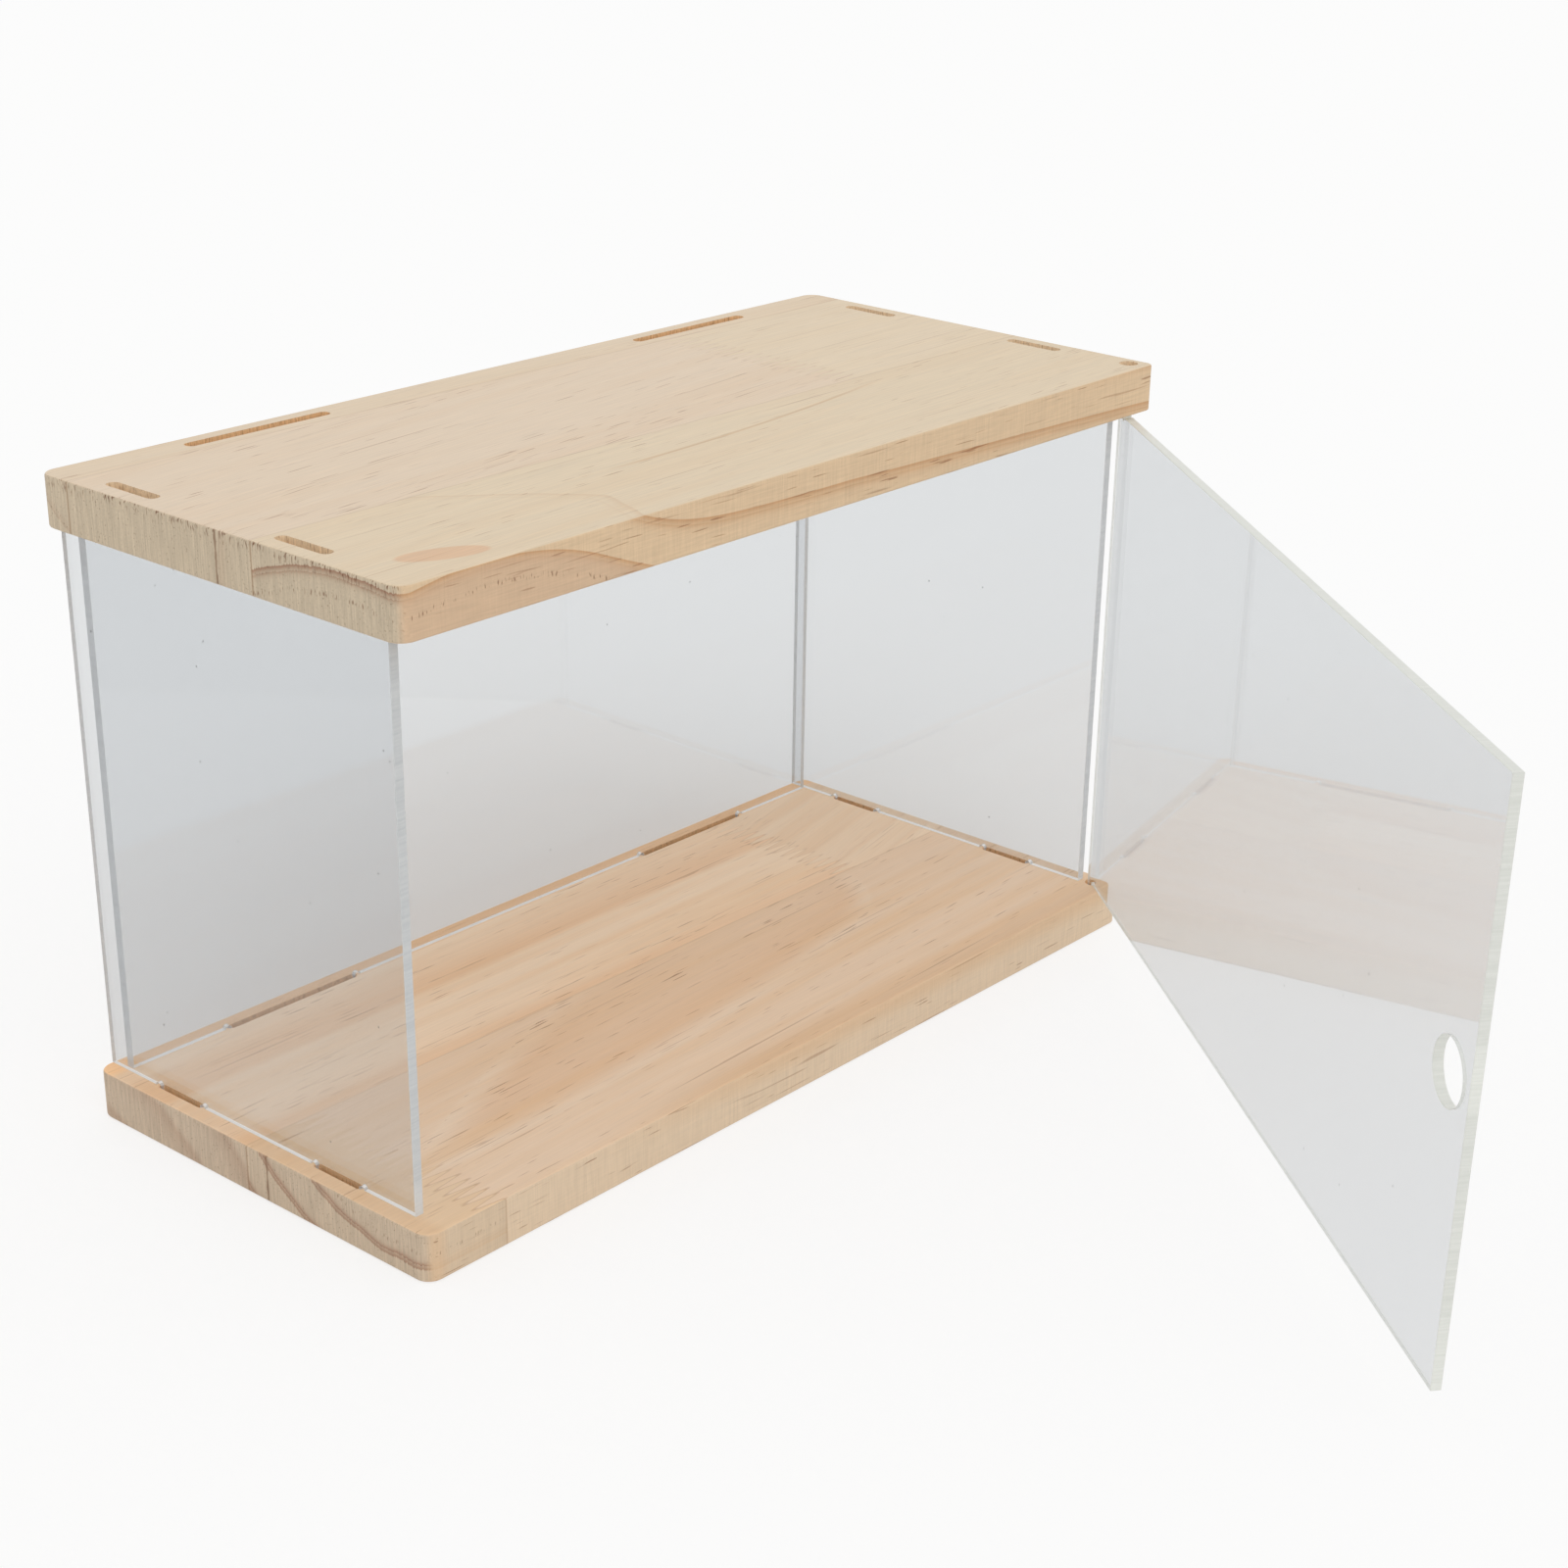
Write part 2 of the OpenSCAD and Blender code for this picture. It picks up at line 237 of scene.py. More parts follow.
    # the walls' golden tone is lighter than the cut wood would be: painted light that offsets the shade down in the
    # slots
    burrs = add(tree, "Math", [flecks, 0.35], operation="MULTIPLY")
    wall = add(tree, "Mix", [burrs, linear(finish["wall"]), linear(BURR)], data_type="RGBA")
    wall = add(tree, "VectorMath", [wall, marks], operation="SCALE")
    colour = add(tree, "Mix", [routed, colour, wall], data_type="RGBA")
    for line_y in glue:
        off = add(tree, "Math", [y, -line_y], operation="ADD")
        thin = add(tree, "MapRange", [add(tree, "Math", [off], operation="ABSOLUTE"), 0.15, 0.45, 0.5, 0.0])
        plain = add(tree, "MapRange", [flat, 0.0, 1.0, 1.0, 0.3])
        seam = add(tree, "Math", [thin, plain], operation="MULTIPLY")
        colour = add(tree, "Mix", [seam, colour, linear(GLUE_LINE)], data_type="RGBA")
    if joint:
        cut_x, from_y, to_y, share = joint
        half_pitch = FINGER_PITCH / 2
        wave = add(tree, "Math", [add(tree, "Math", [y, half_pitch - from_y], operation="ADD"), half_pitch],
                   operation="PINGPONG")
        comb = add(tree, "MapRange", [
            wave, FINGER_TIP / 2, half_pitch - FINGER_TIP / 2, cut_x - FINGER_L / 2, cut_x + FINGER_L / 2,
        ])
        off = add(tree, "Math", [add(tree, "Math", [x, comb], operation="SUBTRACT")], operation="ABSOLUTE")
        # a slanting finger side crosses the grain slowly, so its thin line is long in X
        long_in_x = add(tree, "MapRange", [flat, 0.0, 1.0, 0.4, 1.6])
        near = add(tree, "Math", [off, long_in_x], operation="DIVIDE")
        shown = add(tree, "MapRange", [y, to_y - 12.0, to_y, share, 0.0])
        line = add(tree, "MapRange", [near, 0.3, 1.0, shown, 0.0])
        colour = add(tree, "Mix", [line, colour, linear(FINGER_GLUE)], data_type="RGBA")
    threads = add(tree, "MapRange", [clouds["fibre"], 0.30, 0.70, *finish["fibre"]])
    colour = add(tree, "VectorMath", [colour, threads], operation="SCALE")
    rough = add(tree, "MapRange", [clouds["fibre"], 0.30, 0.70, 0.56, 0.72])
    # raised fibres and planer marks
    height = add(tree, "Mix", [flat, clouds["saw"], clouds["fibre"]])
    relief = add(tree, "Math", [dark_share, -0.6, height], operation="MULTIPLY_ADD")
    bump = add(tree, "Bump", {"Strength": 0.35, "Distance": 0.0002, "Height": relief})
    surface = add(tree, "BsdfPrincipled", {
        "Base Color": colour, "Roughness": rough, "Specular IOR Level": 0.3, "Normal": bump,
    })
    add(tree, "OutputMaterial", {"Surface": surface})
    return material


def lens_rings(middle, turn, left_l, right_l, half_w):
    """Ring of a bent stem, which the wide face cuts into one long lens round (x, y) mm: its left end is pointed and
    its right end blunt."""
    def distance(tree, mm):
        place = add(tree, "Mapping", {
            "Vector": mm, "Location": (*middle, 0.0), "Rotation": (0.0, 0.0, math.radians(turn)),
            "Scale": (left_l, half_w, ANY_HEIGHT),
        }, vector_type="TEXTURE")
        along, across, _ = add(tree, "SeparateXYZ", [place]).outputs
        stretched = add(tree, "Math", [along, left_l / right_l], operation="MULTIPLY")
        to_right = add(tree, "Math", [stretched, 0.0], operation="MAXIMUM")
        to_left = add(tree, "Math", [along, 0.0], operation="MINIMUM")
        oval = add(tree, "VectorMath", [add(tree, "CombineXYZ", [to_right, across, 0.2])], operation="LENGTH")
        lens = add(tree, "Math", [to_left, to_left, oval], operation="MULTIPLY_ADD")
        # no further ring shows round the lens
        alone = add(tree, "Math", [lens, 1.05], operation="MINIMUM")
        return add(tree, "Math", [alone, half_w], operation="MULTIPLY")
    return distance


def warm_front_arris(tree, mm):
    """Share of the darker ring that runs out along the bottom board's upper front arris, right of its middle."""
    x, y, z = add(tree, "SeparateXYZ", [mm]).outputs
    slope = 0.6
    back = add(tree, "Math", [y, slope, slope * BOARD_D / 2 + BOARD_T], operation="MULTIPLY_ADD")
    depth = add(tree, "Math", [back, z], operation="SUBTRACT")
    near = add(tree, "MapRange", [depth, 1.5, 8.0, 0.5, 0.0], interpolation_type="SMOOTHSTEP")
    right = add(tree, "MapRange", [x, -110.0, -10.0, 0.0, 1.0], interpolation_type="SMOOTHSTEP")
    return add(tree, "Math", [near, right], operation="MULTIPLY")


def warm_left_strip(tree, mm):
    """Share of the deeper colour of the board's outermost strip, left of the side sheet."""
    x = add(tree, "SeparateXYZ", [mm]).outputs["X"]
    return add(tree, "MapRange", [x, -155.5, -152.0, 0.35, 0.0])


def rear_strip_painted_light(tree, mm):
    """Share of the stronger orange on the board's outermost strip, behind the back sheet: partly the wood's own
    warmer tone, partly painted light that offsets the shade there.
    """
    y = add(tree, "SeparateXYZ", [mm]).outputs["Y"]
    return add(tree, "MapRange", [y, 62.5, 66.0, 0.0, 0.7])


def orange_bands(tree, mm):
    """Share of the two soft orange bands along the board's rear stave: a broad one, and one by the glue line."""
    y = add(tree, "SeparateXYZ", [mm]).outputs["Y"]
    starts = add(tree, "MapRange", [y, 36.5, 41.0, 0.0, 0.3], interpolation_type="SMOOTHSTEP")
    ends = add(tree, "MapRange", [y, 43.0, 61.0, 1.0, 0.0])
    broad = add(tree, "Math", [starts, ends], operation="MULTIPLY")
    by_glue = add(tree, "MapRange", [y, 5.0, 14.0, 0.3, 0.0], interpolation_type="SMOOTHSTEP")
    return add(tree, "Math", [broad, by_glue], operation="MAXIMUM")


def pale_by_glue(tree, mm):
    """Share of the paler wood in the lens, towards the glue line."""
    y = add(tree, "SeparateXYZ", [mm]).outputs["Y"]
    return add(tree, "MapRange", [y, -18.0, 2.0, 0.0, 0.55], interpolation_type="SMOOTHSTEP")


def dress(node, material):
    """Gives a node of the frame its finished material."""
    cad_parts[node].material_slots[0].material = material


# the routed walls' colour, painted lighter to offset the shade in the slots, and how strong torn flecks, fibres and
# resin in late wood are
BOTTOM_FINISH = {"wall": "#FFD19C", "flecks": 0.15, "fibre": (0.96, 1.03), "resin": 0.06}
BOTTOM_GLUE = (3.0,)
FRONT_JOINT = (-136.0, -72.0, -40.0, 0.3)
REAR_JOINT = (103.0, 3.0, 62.0, 0.2)
# the strip behind the back sheet: its strong orange is partly the wood's tone and partly painted light, offsetting
# the shade there
REAR_STRIP_PAINTED_LIGHT = "#FFCB95"
LENS_HALF_W = 30.5
# The bottom staves' tones are lighter than the top board's: partly paler wood, partly painted light that offsets
# the shade inside the case.
dress("bottom_front_left", pine(
    "sanded_pine_bottom_front_left", rings=round_rings((-64.0, 83.5)), ring_at=80.2, spacing=13.0,
    tones={"early": "#E9CEAE", "late": "#C99A69", "warm": "#E3BF96", "side": "#D6BFA3", "end": "#C9B59D"},
    lines={"flat": (0.15, 12.0, 0.3), "side": (0.35, 10.0, 0.3), "end": (0.85, 8.0, 0.6)},
    finish=BOTTOM_FINISH, streak=0.5, dash=0.55, seed=(31.0, 7.0, 3.0), run=1.0,
    glue=BOTTOM_GLUE, checks=(-5.6,), tints_and_painted_light=((warm_left_strip, "#DDB48A"),),
    fall=0.6, dots=(-5.5, 0.4), joint=FRONT_JOINT))
dress("bottom_front_right", pine(
    "sanded_pine_bottom_front_right", rings=lens_rings((64.5, 0.6), 12.4, 232.0, 38.0, LENS_HALF_W),
    ring_at=LENS_HALF_W, spacing=LENS_HALF_W,
    tones={"early": "#EDD6BD", "late": "#DDA976", "warm": "#E6BF92", "side": "#DEC7AB", "end": "#C2AF98"},
    lines={"flat": (0.46, 0.5, 0.0), "side": (0.1, 4.0, 0.0), "end": (0.5, 7.0, 0.0)},
    finish={**BOTTOM_FINISH, "resin": 0.1}, streak=0.5, dash=0.6, seed=(-71.0, 23.0, 11.0), run=2.0,
    glue=BOTTOM_GLUE, tints_and_painted_light=((warm_front_arris, "#DBB48A"), (pale_by_glue, "#EDD2B6")),
    wander=2.0, fall=10.0, joint=FRONT_JOINT))
# the rear staves sit deepest in the shade under the top board, so their tones are lifted most, as painted light
# that offsets that shade
dress("bottom_rear_left", pine(
    "sanded_pine_bottom_rear_left", rings=round_rings((92.0, -74.0)), ring_at=103.0, spacing=19.0,
    tones={"early": "#F8E0C4", "late": "#E6AE74", "warm": "#F0C89C", "side": "#DAC3A7", "end": "#C8B49D"},
    lines={"flat": (0.2, 5.0, 0.0), "side": (0.3, 5.0, 0.0), "end": (0.45, 2.5, 0.0)},
    finish=BOTTOM_FINISH, streak=0.5, dash=0.5, seed=(12.0, -41.0, 29.0), run=0.5,
    glue=BOTTOM_GLUE,
    tints_and_painted_light=((warm_left_strip, "#D3A678"), (rear_strip_painted_light, REAR_STRIP_PAINTED_LIGHT), (orange_bands, "#E3A667")),
    wander=3.0, fall=4.0, joint=REAR_JOINT))
dress("bottom_rear_right", pine(
    "sanded_pine_bottom_rear_right", rings=round_rings((92.0, -74.0), (0.23, 0.0)), ring_at=104.0, spacing=9.0,
    tones={"early": "#F3DBBF", "late": "#DFB48C", "warm": "#ECC69C", "side": "#DAC3A7", "end": "#C8B49D"},
    lines={"flat": (0.3, 3.0, 0.0), "side": (0.3, 5.0, 0.3), "end": (0.5, 6.0, 0.3)},
    finish=BOTTOM_FINISH, streak=0.4, dash=0.4, seed=(55.0, 63.0, -17.0), run=13.0,
    glue=BOTTOM_GLUE, tints_and_painted_light=((rear_strip_painted_light, REAR_STRIP_PAINTED_LIGHT),),
    fall=1.5, joint=REAR_JOINT))

# Top board: the same panel, glued from three staves; only its middle stave is finger-jointed. It stands on
# the sheets' shoulders, and its six slots and pivot hole match the bottom board's.
TOP_FACE = CLEAR_H + 2 * BOARD_T
# its routed walls are painted lighter too, to offset the shade in the slots
TOP_FINISH = {"wall": "#F5DCBA", "flecks": 0.9, "fibre": (0.93, 1.05), "resin": 0.06}
TOP_GLUE = (-17.0, 59.0)
MIDDLE_JOINT = (75.0, -17.0, 62.0, 0.15)


def on_upper_face(tree, mm, here, elsewhere):
    """One value on the board's upper face, and another from just under its edge down."""
    z = add(tree, "SeparateXYZ", [mm]).outputs["Z"]
    return add(tree, "MapRange", [z, TOP_FACE - 1.0, TOP_FACE - 0.4, elsewhere, here])


def rolling_rings(tree, mm):
    """Rings of the front stave, which roll over a hump near its left end and then fall slowly to the right."""
    hump_x, hump_w, hump_h = -84.0, 26.0, 11.0
    x, y, z = add(tree, "SeparateXYZ", [mm]).outputs
    off = add(tree, "Math", [y, 52.0], operation="ADD")
    bow = add(tree, "Math", [off, off], operation="MULTIPLY")
    rearward = add(tree, "Math", [off, 0.0], operation="MAXIMUM")
    skewed = add(tree, "Math", [rearward, 0.6, x], operation="MULTIPLY_ADD")
    step = add(tree, "Math", [skewed, 1.0 / hump_w, -hump_x / hump_w], operation="MULTIPLY_ADD")
    roll = add(tree, "Math", [step], operation="TANH")
    level = add(tree, "Math", [roll, hump_h, z], operation="MULTIPLY_ADD")
    level = add(tree, "Math", [bow, 0.005, level], operation="MULTIPLY_ADD")
    leftward = add(tree, "MapRange", [x, -160.0, -122.0, 38.0, 0.0])
    crown = add(tree, "Math", [leftward, leftward], operation="MULTIPLY")
    level = add(tree, "Math", [crown, 0.0027, level], operation="MULTIPLY_ADD")
    slope = add(tree, "MapRange", [x, 10.0, 160.0, 0.0, 4.5])
    level = add(tree, "Math", [level, slope], operation="ADD")
    # no further ring shows under the hump, and the hump itself meets the upper face only in its oval
    least = add(tree, "MapRange", [z, TOP_FACE - 0.8, TOP_FACE - 0.3, 179.5, 189.5])
    level = add(tree, "Math", [level, least], operation="MAXIMUM")
    # nor does one by the glue line at the right
    return add(tree, "Math", [level, 213.0], operation="MINIMUM")


def oval_of_late_wood(tree, mm):
    """Share of the oval island where the sander just reached a darker ring, near the front left corner."""
    place = add(tree, "Mapping", {
        "Vector": mm, "Location": (-134.0, -59.5, 0.0), "Rotation": (0.0, 0.0, math.radians(-20.0)),
        "Scale": (13.0, 4.8, ANY_HEIGHT),
    }, vector_type="TEXTURE")
    spread = add(tree, "VectorMath", [place], operation="LENGTH")
    inside = add(tree, "MapRange", [spread, 0.92, 1.04, 0.8, 0.0])
    return add(tree, "Math", [inside, on_upper_face(tree, mm, 1.0, 0.0)], operation="MULTIPLY")


def under_hump(tree, mm):
    """Share of the pinker wood under the hump on the front edge."""
    below = add(tree, "MapRange", [rolling_rings(tree, mm), 186.4, 187.9, 0.5, 0.0])
    return add(tree, "Math", [below, on_upper_face(tree, mm, 0.0, 1.0)], operation="MULTIPLY")


def late_line(tree, mm):
    """Share of the one late-wood line that runs on along the front stave's upper face, bending to the back."""
    x, y, _ = add(tree, "SeparateXYZ", [mm]).outputs
    on = add(tree, "Math", [x, 50.0], operation="ADD")
    bend = add(tree, "Math", [on, on], operation="MULTIPLY")
    path = add(tree, "Math", [bend, 0.0007, -35.5], operation="MULTIPLY_ADD")
    off = add(tree, "Math", [add(tree, "Math", [y, path], operation="SUBTRACT")], operation="ABSOLUTE")
    starts = add(tree, "MapRange", [x, -52.0, -36.0, 0.0, 0.5])
    ends = add(tree, "MapRange", [x, 55.0, 85.0, 1.0, 0.0])
    along = add(tree, "Math", [starts, ends], operation="MULTIPLY")
    thin = add(tree, "MapRange", [off, 0.2, 0.9, along, 0.0])
    return add(tree, "Math", [thin, on_upper_face(tree, mm, 1.0, 0.0)], operation="MULTIPLY")


dress("top_rear_stave", pine(
    "sanded_pine_top_rear", rings=round_rings((20.0, 240.0)), ring_at=60.0, spacing=11.0,
    tones={"early": "#E1CEB5", "late": "#D2A878", "warm": "#DEC4A2", "side": "#D4B899", "end": "#CAB9A0"},
    lines={"flat": (0.15, 8.0, 0.3), "side": (0.35, 10.0, 0.3), "end": (0.3, 9.0, 0.3)},
    finish={**TOP_FINISH, "wall": "#EEC696"}, streak=0.3, dash=0.4, seed=(19.0, -23.0, 5.0), run=1.0,
    glue=TOP_GLUE))
dress("top_middle_left", pine(
    "sanded_pine_top_middle_left", rings=round_rings((-300.0, 188.0)), ring_at=297.0, spacing=95.0,
    tones={"early": "#E2CFB8", "late": "#DBB993", "warm": "#DFC5A8", "side": "#D4B899", "end": "#C8B79E"},
    lines={"flat": (0.12, 12.0, 0.3), "side": (0.3, 10.0, 0.3), "end": (0.2, 40.0, 0.3)},
    finish=TOP_FINISH, streak=0.4, dash=0.55, seed=(-33.0, 51.0, 9.0), run=6.0,
    glue=TOP_GLUE, checks=(-2.9,), joint=MIDDLE_JOINT))
dress("top_middle_right", pine(
    "sanded_pine_top_middle_right", rings=round_rings((10.0, 320.0), (0.05, 0.1)), ring_at=60.0, spacing=12.0,
    tones={"early": "#E2D0B6", "late": "#D9BE9A", "warm": "#E1CBAB", "side": "#D4B899", "end": "#C8B79E"},
    lines={"flat": (0.15, 8.0, 0.3), "side": (0.3, 10.0, 0.3), "end": (0.3, 9.0, 0.3)},
    finish=TOP_FINISH, streak=0.3, dash=0.3, seed=(77.0, -9.0, 41.0), run=2.0,
    glue=TOP_GLUE, joint=MIDDLE_JOINT))
dress("top_front_stave", pine(
    "sanded_pine_top_front", rings=rolling_rings, ring_at=188.2, spacing=13.5,
    tones={"early": "#E1CFB4", "late": "#BC8450", "warm": "#DFC5A4", "side": "#DBBF9C", "end": "#C8B79E"},
    lines={"flat": (0.35, 24.0, 0.3), "side": (0.8, 8.0, 0.3), "end": (1.0, 12.0, 0.4)},
    finish=TOP_FINISH, streak=0.3, dash=0.55, seed=(5.0, 3.0, -27.0), run=2.0,
    glue=TOP_GLUE,
    tints_and_painted_light=((oval_of_late_wood, "#DEB896"), (under_hump, "#C9A88D"), (late_line, "#C59F74")),
    wander=1.5, dots=(-6.7, 0.65)))

# Side sheets: two pieces of 3 mm cast acrylic, cut to a tabbed outline with small round reliefs at the tabs'
# roots. The faces keep the polish they were cast with, and the cut edges are left frosted by the saw. Nothing
# fixes them: their tabs stand loose in the boards' slots.
SHEET_T = 3.0
TAB_REACH = 10.0
SIDE_L = 133.0
SIDE_TAB_W = 19.0
SIDE_TAB_PITCH = 69.0
SIDE_X = 153.0
SIDE_MID_Y = 5.0
RELIEF_R = 1.0
RELIEF_BITE = 0.3
ARC_STEPS = 14
HOLE_SEGMENTS = 72
ARRIS = 0.15
# a shoulder stands this far off its board, so that no two faces share a plane
SEAT = 0.05
# a relief cut's middle off the tab's side, how far it reaches along that side, and its turn in degrees
RELIEF_OFF = RELIEF_R * (1 - RELIEF_BITE)
RELIEF_TUCK = RELIEF_R * math.sqrt(1 - (1 - RELIEF_BITE) ** 2)
RELIEF_SWEEP = -180.0 - math.degrees(math.acos(1 - RELIEF_BITE))
# a sheet's material slots
POLISHED, EDGE, SHOULDER = range(3)


def cut_outline(path, holes=()):
    """A flat cut-out in the XY plane, mm: a pair is a straight cut, a triple turns about (x, y) by degrees."""
    bm = bmesh.new()
    tip = bm.verts.new((*path[0], 0.0))
    for step in path[1:]:
        if len(step) == 2:
            tip = bmesh.ops.extrude_vert_indiv(bm, verts=[tip])["verts"][0]
            tip.co = (*step, 0.0)
        else:
            turned = bmesh.ops.spin(bm, geom=[tip], cent=(step[0], step[1], 0.0), axis=(0.0, 0.0, 1.0),
                                    angle=math.radians(step[2]), steps=ARC_STEPS, use_merge=False)
            tip = turned["geom_last"][0]
    for x, y, radius in holes:
        middle = Matrix.Translation((x, y, 0.0))
        bmesh.ops.create_circle(bm, radius=radius, segments=HOLE_SEGMENTS, matrix=middle)
    bmesh.ops.remove_doubles(bm, verts=bm.verts, dist=0.001)
    bmesh.ops.triangle_fill(bm, use_beauty=True, use_dissolve=False, edges=bm.edges, normal=(0.0, 0.0, 1.0))
    return bm


def acrylic_piece(name, bm, stand, finishes):
    """Gives a cut-out its thickness and eased arrises, stands it in place by a matrix, and makes the object."""
    lower = bm.faces[:]
    grown = bmesh.ops.extrude_face_region(bm, geom=lower)["geom"]
    upper = [f for f in grown if isinstance(f, bmesh.types.BMFace)]
    raised = [v for v in grown if isinstance(v, bmesh.types.BMVert)]
    lift = SHEET_T - 2 * ARRIS
    bmesh.ops.translate(bm, verts=raised, vec=(0.0, 0.0, lift))
    bmesh.ops.recalc_face_normals(bm, faces=bm.faces)
    for cap in (upper, lower):
        bmesh.ops.inset_region(bm, faces=cap, thickness=ARRIS, depth=ARRIS, use_boundary=True, use_even_offset=True)
    bmesh.ops.translate(bm, verts=bm.verts, vec=(0.0, 0.0, -lift / 2))
    for face in bm.faces:
        face.smooth = True
        level = abs(face.normal.y) > 0.7
        face.material_index = POLISHED if abs(face.normal.z) > 0.99 else SHOULDER if level else EDGE
    bmesh.ops.transform(bm, matrix=Matrix.Scale(1 / MM_PER_M, 4) @ stand, verts=bm.verts)
    mesh = bpy.data.meshes.new(name)
    bm.to_mesh(mesh)
    bm.free()
    mesh.set_sharp_from_angle(angle=math.radians(25.0))
    for finish in finishes:
        mesh.materials.append(finish)
    piece = bpy.data.objects.new(name, mesh)
    bpy.context.scene.collection.objects.link(piece)
    return piece


def let_lamps_through(tree, surface, pass_colour):
    """Ends a clear material: light from lamps and from matt surfaces passes straight through the sheet."""
    path = add(tree, "LightPath")
    straight = add(tree, "Math", [path.outputs["Is Shadow Ray"], path.outputs["Is Diffuse Ray"]],
                   operation="MAXIMUM")
    clear = add(tree, "BsdfTransparent", [linear(pass_colour)])
    mixed = add(tree, "MixShader", [straight, surface, clear])
    add(tree, "OutputMaterial", {"Surface": mixed})


def polished_acrylic(name):
    """Cast acrylic's own polish: clear, faintly cool grey, with hardly visible hand smears and a little dust. The
    grey is partly the sheet's own tint and partly painted shade, standing in for greyer surroundings seen through
    it.
    """
    material, tree = blank_material(name)
    mm = object_mm(tree)
    smear_place = add(tree, "Mapping", {"Vector": mm, "Scale": (38.0, 38.0, 60.0)}, vector_type="TEXTURE")
    smear = add(tree, "TexNoise", {"Vector": smear_place, "Scale": 1.0, "Detail": 3.0})
    rough = add(tree, "MapRange", [smear, 0.4, 0.75, 0.0, 0.03])
    dust_place = add(tree, "Mapping", {"Vector": mm, "Scale": (14.0, 14.0, 14.0)}, vector_type="TEXTURE")
    dust = add(tree, "TexVoronoi", {"Vector": dust_place, "Scale": 1.0, "Randomness": 1.0}, feature="F1")
    specks = add(tree, "MapRange", [dust.outputs["Distance"], 0.022, 0.03, 1.0, 0.0])
    # the clear grey is partly painted shade, darker than the sheet's own tint alone, standing in for the greyer
    # surroundings behind it
    colour = add(tree, "Mix", [specks, linear("#E9EBED"), linear("#9A9C9C")], data_type="RGBA")
    surface = add(tree, "BsdfPrincipled", {
        "Base Color": colour, "Roughness": rough, "IOR": 1.49, "Transmission Weight": 1.0,
    })
    let_lamps_through(tree, surface, "#F8F8F9")
    return material


def sawn_acrylic(name, turn, tones, clear):
    """Cut edge of the sheet: frosted white, with saw lines straight across the 3 mm. turn is the edge's angle
    about Z, so that the lines run through the thickness; clear is the share of light it lets in."""
    material, tree = blank_material(name)
    # real saw lines are too fine to show, so they are drawn coarser here
    place = add(tree, "Mapping", {
        "Vector": object_mm(tree), "Rotation": (0.0, 0.0, math.radians(turn)), "Scale": (0.6, 12.0, 0.6),
    }, vector_type="TEXTURE")
    lines = add(tree, "TexNoise", {"Vector": place, "Scale": 1.0, "Detail": 2.0})
    streaks = add(tree, "MapRange", [lines, 0.3, 0.7, 0.0, 1.0])
    colour = add(tree, "Mix", [streaks, *(linear(t) for t in tones)], data_type="RGBA")
    rough = add(tree, "MapRange", [lines, 0.3, 0.7, 0.35, 0.55])
    bump = add(tree, "Bump", {"Strength": 0.4, "Distance": 0.0001, "Height": lines})
    surface = add(tree, "BsdfPrincipled", {
        "Base Color": colour, "Roughness": rough, "IOR": 1.49, "Transmission Weight": clear, "Normal": bump,
    })
    let_lamps_through(tree, surface, "#EDEDEA")
    return material


def tabbed_path(length, tab_w, pitch):
    """Outline of a fixed sheet, measured from the middle of its lower shoulder: two tabs below and two above."""
    root = tab_w / 2 + RELIEF_OFF
    half = [(-length / 2, SEAT)]
    for mid in (-pitch / 2, pitch / 2):
        half += [
            (mid - root - RELIEF_R, SEAT), (mid - root, SEAT, RELIEF_SWEEP),
            (mid - tab_w / 2, -TAB_REACH), (mid + tab_w / 2, -TAB_REACH),
            (mid + tab_w / 2, SEAT - RELIEF_TUCK), (mid + root, SEAT, RELIEF_SWEEP),
        ]
    half += [(length / 2, SEAT)]
    return half + [(-s[0], CLEAR_H - s[1], *s[2:]) for s in half] + [half[0]]


EDGE_TONES = ("#D2D5D6", "#DFE1E1")
EDGE_CLEAR = 0.2
# the shoulders on the boards gather the light that runs down inside the sheet; that glow is painted in, as a
# near-white frosted colour that lets no light in, so they show as white lines
SHOULDER_TONES_PAINTED_GLOW = ("#F8F8F6", "#FDFDFC")
SIDE_TURN = 90.0
polished = polished_acrylic("polished_cast_acrylic")
side_edge = sawn_acrylic("sawn_acrylic_side_edge", SIDE_TURN, EDGE_TONES, EDGE_CLEAR)
side_shoulder_painted_glow = sawn_acrylic("sawn_acrylic_side_shoulder", SIDE_TURN, SHOULDER_TONES_PAINTED_GLOW, 0.0)
# columns: where the outline's length, its height and the sheet's thickness point
stand_side = Matrix(((0, 0, 1, 0), (1, 0, 0, 0), (0, 1, 0, 0), (0, 0, 0, 1)))
for node, x in (("left_panel", -SIDE_X), ("right_panel", SIDE_X)):
    sheet = acrylic_piece(node + "_sheet", cut_outline(tabbed_path(SIDE_L, SIDE_TAB_W, SIDE_TAB_PITCH)),
                          Matrix.Translation((x, SIDE_MID_Y, BOARD_T)) @ stand_side,
                          (polished, side_edge, side_shoulder_painted_glow))
    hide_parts(node)
    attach(sheet, "case")

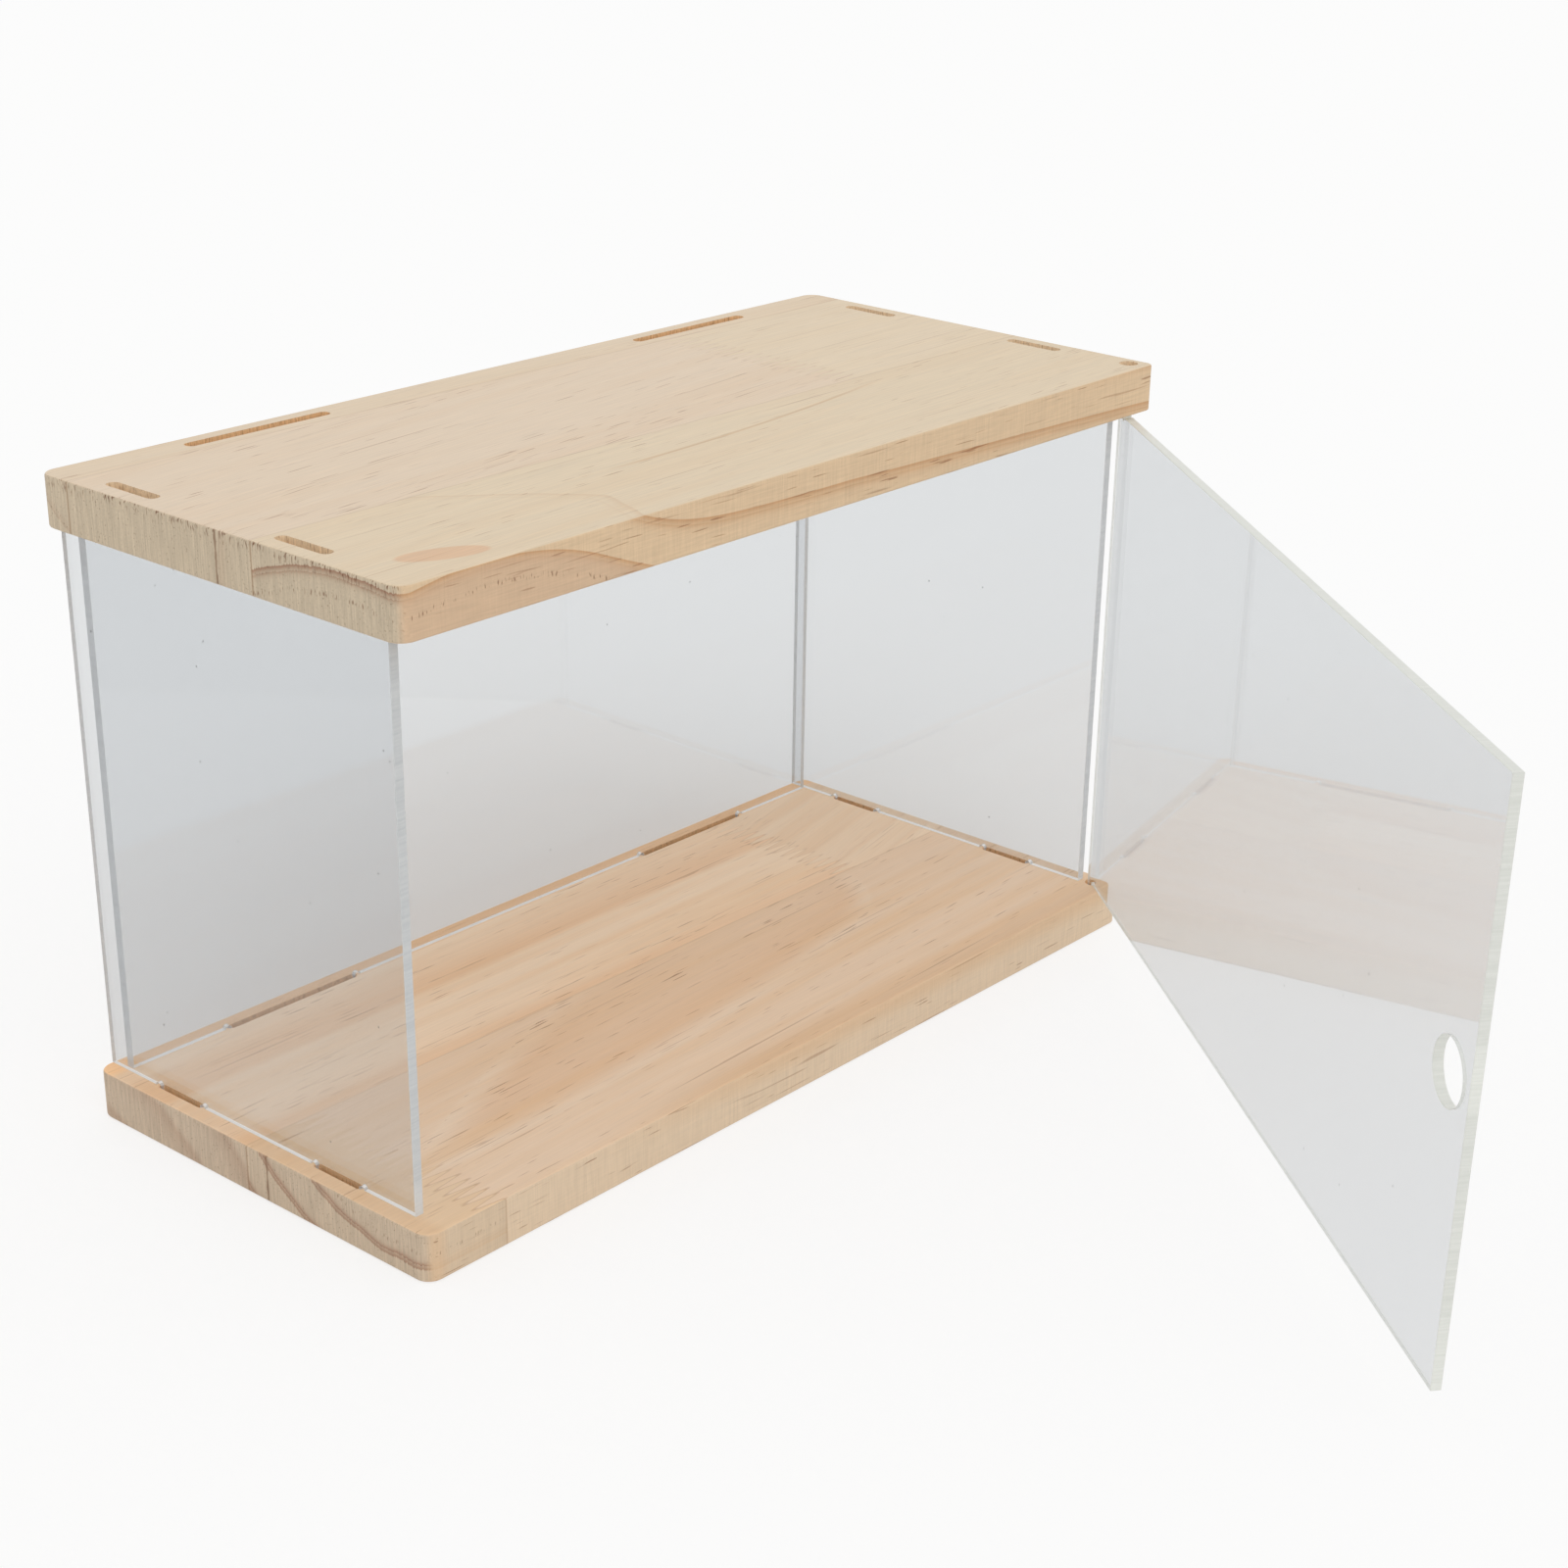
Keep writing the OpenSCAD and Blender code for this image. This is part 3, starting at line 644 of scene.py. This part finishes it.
# Back sheet: the same acrylic, cut in the same way, standing between the side sheets on wider tabs.
# It is held by its tabs alone, half a millimetre clear of the side sheets.
BACK_L = 302.0
BACK_TAB_W = 50.0
BACK_TAB_PITCH = 180.0
BACK_Y = 65.0
BACK_TURN = 0.0
back_edge = sawn_acrylic("sawn_acrylic_back_edge", BACK_TURN, EDGE_TONES, EDGE_CLEAR)
back_shoulder_painted_glow = sawn_acrylic("sawn_acrylic_back_shoulder", BACK_TURN, SHOULDER_TONES_PAINTED_GLOW, 0.0)
stand_back = Matrix(((1, 0, 0, 0), (0, 0, -1, 0), (0, 1, 0, 0), (0, 0, 0, 1)))
back = acrylic_piece("back_panel_sheet", cut_outline(tabbed_path(BACK_L, BACK_TAB_W, BACK_TAB_PITCH)),
                     Matrix.Translation((0.0, BACK_Y, BOARD_T)) @ stand_back,
                     (polished, back_edge, back_shoulder_painted_glow))
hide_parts("back_panel")
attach(back, "case")

# Door: a loose acrylic sheet that turns on two small tabs in the boards' pivot holes, with a finger hole
# near its free edge. It is drawn along its own length and then stood open at the photograph's angle.
DOOR_OPEN = 51.0
DOOR_H = 164.0
DOOR_L = 312.5
DOOR_GAP_BELOW = 0.4
PIVOT_TAB_W = 5.0
PIVOT_X = 154.5
PIVOT_Y = -66.0
# how far along the door from its pivot, how far up its edge, and its radius
FINGER_HOLE = (299.0, 82.0, 9.0)
DOOR_EDGE_TONES = ("#E2E4DD", "#ECEDE7")
DOOR_EDGE_CLEAR = 0.12
tab_side = PIVOT_TAB_W / 2
tab_root = tab_side + RELIEF_OFF
tab_low = -DOOR_GAP_BELOW - TAB_REACH
tab_high = CLEAR_H - DOOR_GAP_BELOW + TAB_REACH
door_path = [
    (-tab_side, tab_low), (tab_side, tab_low), (tab_side, -RELIEF_TUCK), (tab_root, 0.0, RELIEF_SWEEP),
    (DOOR_L, 0.0), (DOOR_L, DOOR_H), (tab_root + RELIEF_R, DOOR_H), (tab_root, DOOR_H, RELIEF_SWEEP),
    (tab_side, tab_high), (-tab_side, tab_high), (-tab_side, tab_low),
]
door_edge = sawn_acrylic("sawn_acrylic_door_edge", DOOR_OPEN, DOOR_EDGE_TONES, DOOR_EDGE_CLEAR)
swing = Matrix.Rotation(math.radians(180.0 + DOOR_OPEN), 4, "Z")
door = acrylic_piece("door_sheet", cut_outline(door_path, [FINGER_HOLE]),
                     Matrix.Translation((PIVOT_X, PIVOT_Y, BOARD_T + DOOR_GAP_BELOW)) @ swing @ stand_back,
                     (polished, door_edge, door_edge))
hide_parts("door")
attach(door, "door")

# Studio: a plain pale floor, one large soft lamp high on the left front, and even white surroundings.
# Camera, mirror and see-through rays meet the surroundings as white paper. The floor is matt paper, lifted towards
# white for camera and mirror rays; behind a clear sheet it keeps its own shade and shadows. Sizes are in metres.
FLOOR_HALF = 20.0
FLOOR_DROP = 0.0002
FLOOR_LIFT = 0.7
WHITE = "#FFFFFF"


def white_for_sight(tree, straight, through):
    """Share of white for rays that look straight or by a mirror, and for those through a clear sheet; gathered
    light gets none."""
    path = add(tree, "LightPath")
    looks = add(tree, "Math", [path.outputs["Is Camera Ray"], path.outputs["Is Glossy Ray"]], operation="MAXIMUM")
    bare = add(tree, "Math", [looks, straight], operation="MULTIPLY")
    # a ray that went through a clear sheet counts as a mirror ray too, so the sheet's share replaces the other
    return add(tree, "Mix", [path.outputs["Is Transmission Ray"], bare, through])


surround = bpy.data.worlds.new("white_surround")
surround.use_nodes = True
sky = surround.node_tree
sky.nodes.clear()
soft_fill = add(sky, "Background", {"Color": linear(WHITE), "Strength": 0.8})
white_paper = add(sky, "Background", {"Color": linear(WHITE), "Strength": 1.0})
all_round = add(sky, "MixShader", [white_for_sight(sky, 1.0, 1.0), soft_fill, white_paper])
add(sky, "OutputWorld", {"Surface": all_round})
bpy.context.scene.world = surround

floor_mesh = bpy.data.meshes.new("studio_floor")
floor_bm = bmesh.new()
bmesh.ops.create_grid(floor_bm, x_segments=1, y_segments=1, size=FLOOR_HALF)
bmesh.ops.translate(floor_bm, verts=floor_bm.verts, vec=(0.0, 0.0, -FLOOR_DROP))
floor_bm.to_mesh(floor_mesh)
floor_bm.free()
floor = bpy.data.objects.new("studio_floor", floor_mesh)
bpy.context.scene.collection.objects.link(floor)
paper, paper_tree = blank_material("pale_paper_floor")
matt = add(paper_tree, "BsdfDiffuse", {"Color": linear("#FAFAF9")})
glow = add(paper_tree, "Emission", {"Color": linear(WHITE), "Strength": 1.0})
lifted = add(paper_tree, "MixShader", [white_for_sight(paper_tree, FLOOR_LIFT, 0.0), matt, glow])
add(paper_tree, "OutputMaterial", {"Surface": lifted})
floor_mesh.materials.append(paper)

key_light = bpy.data.lights.new("soft_key", "SUN")
key_light.energy = 0.6
key_light.angle = math.radians(50.0)
key = bpy.data.objects.new("soft_key", key_light)
key.rotation_euler = (math.radians(38.0), 0.0, math.radians(-25.0))
key.visible_glossy = False
bpy.context.scene.collection.objects.link(key)

bpy.context.scene.view_settings.view_transform = "Standard"
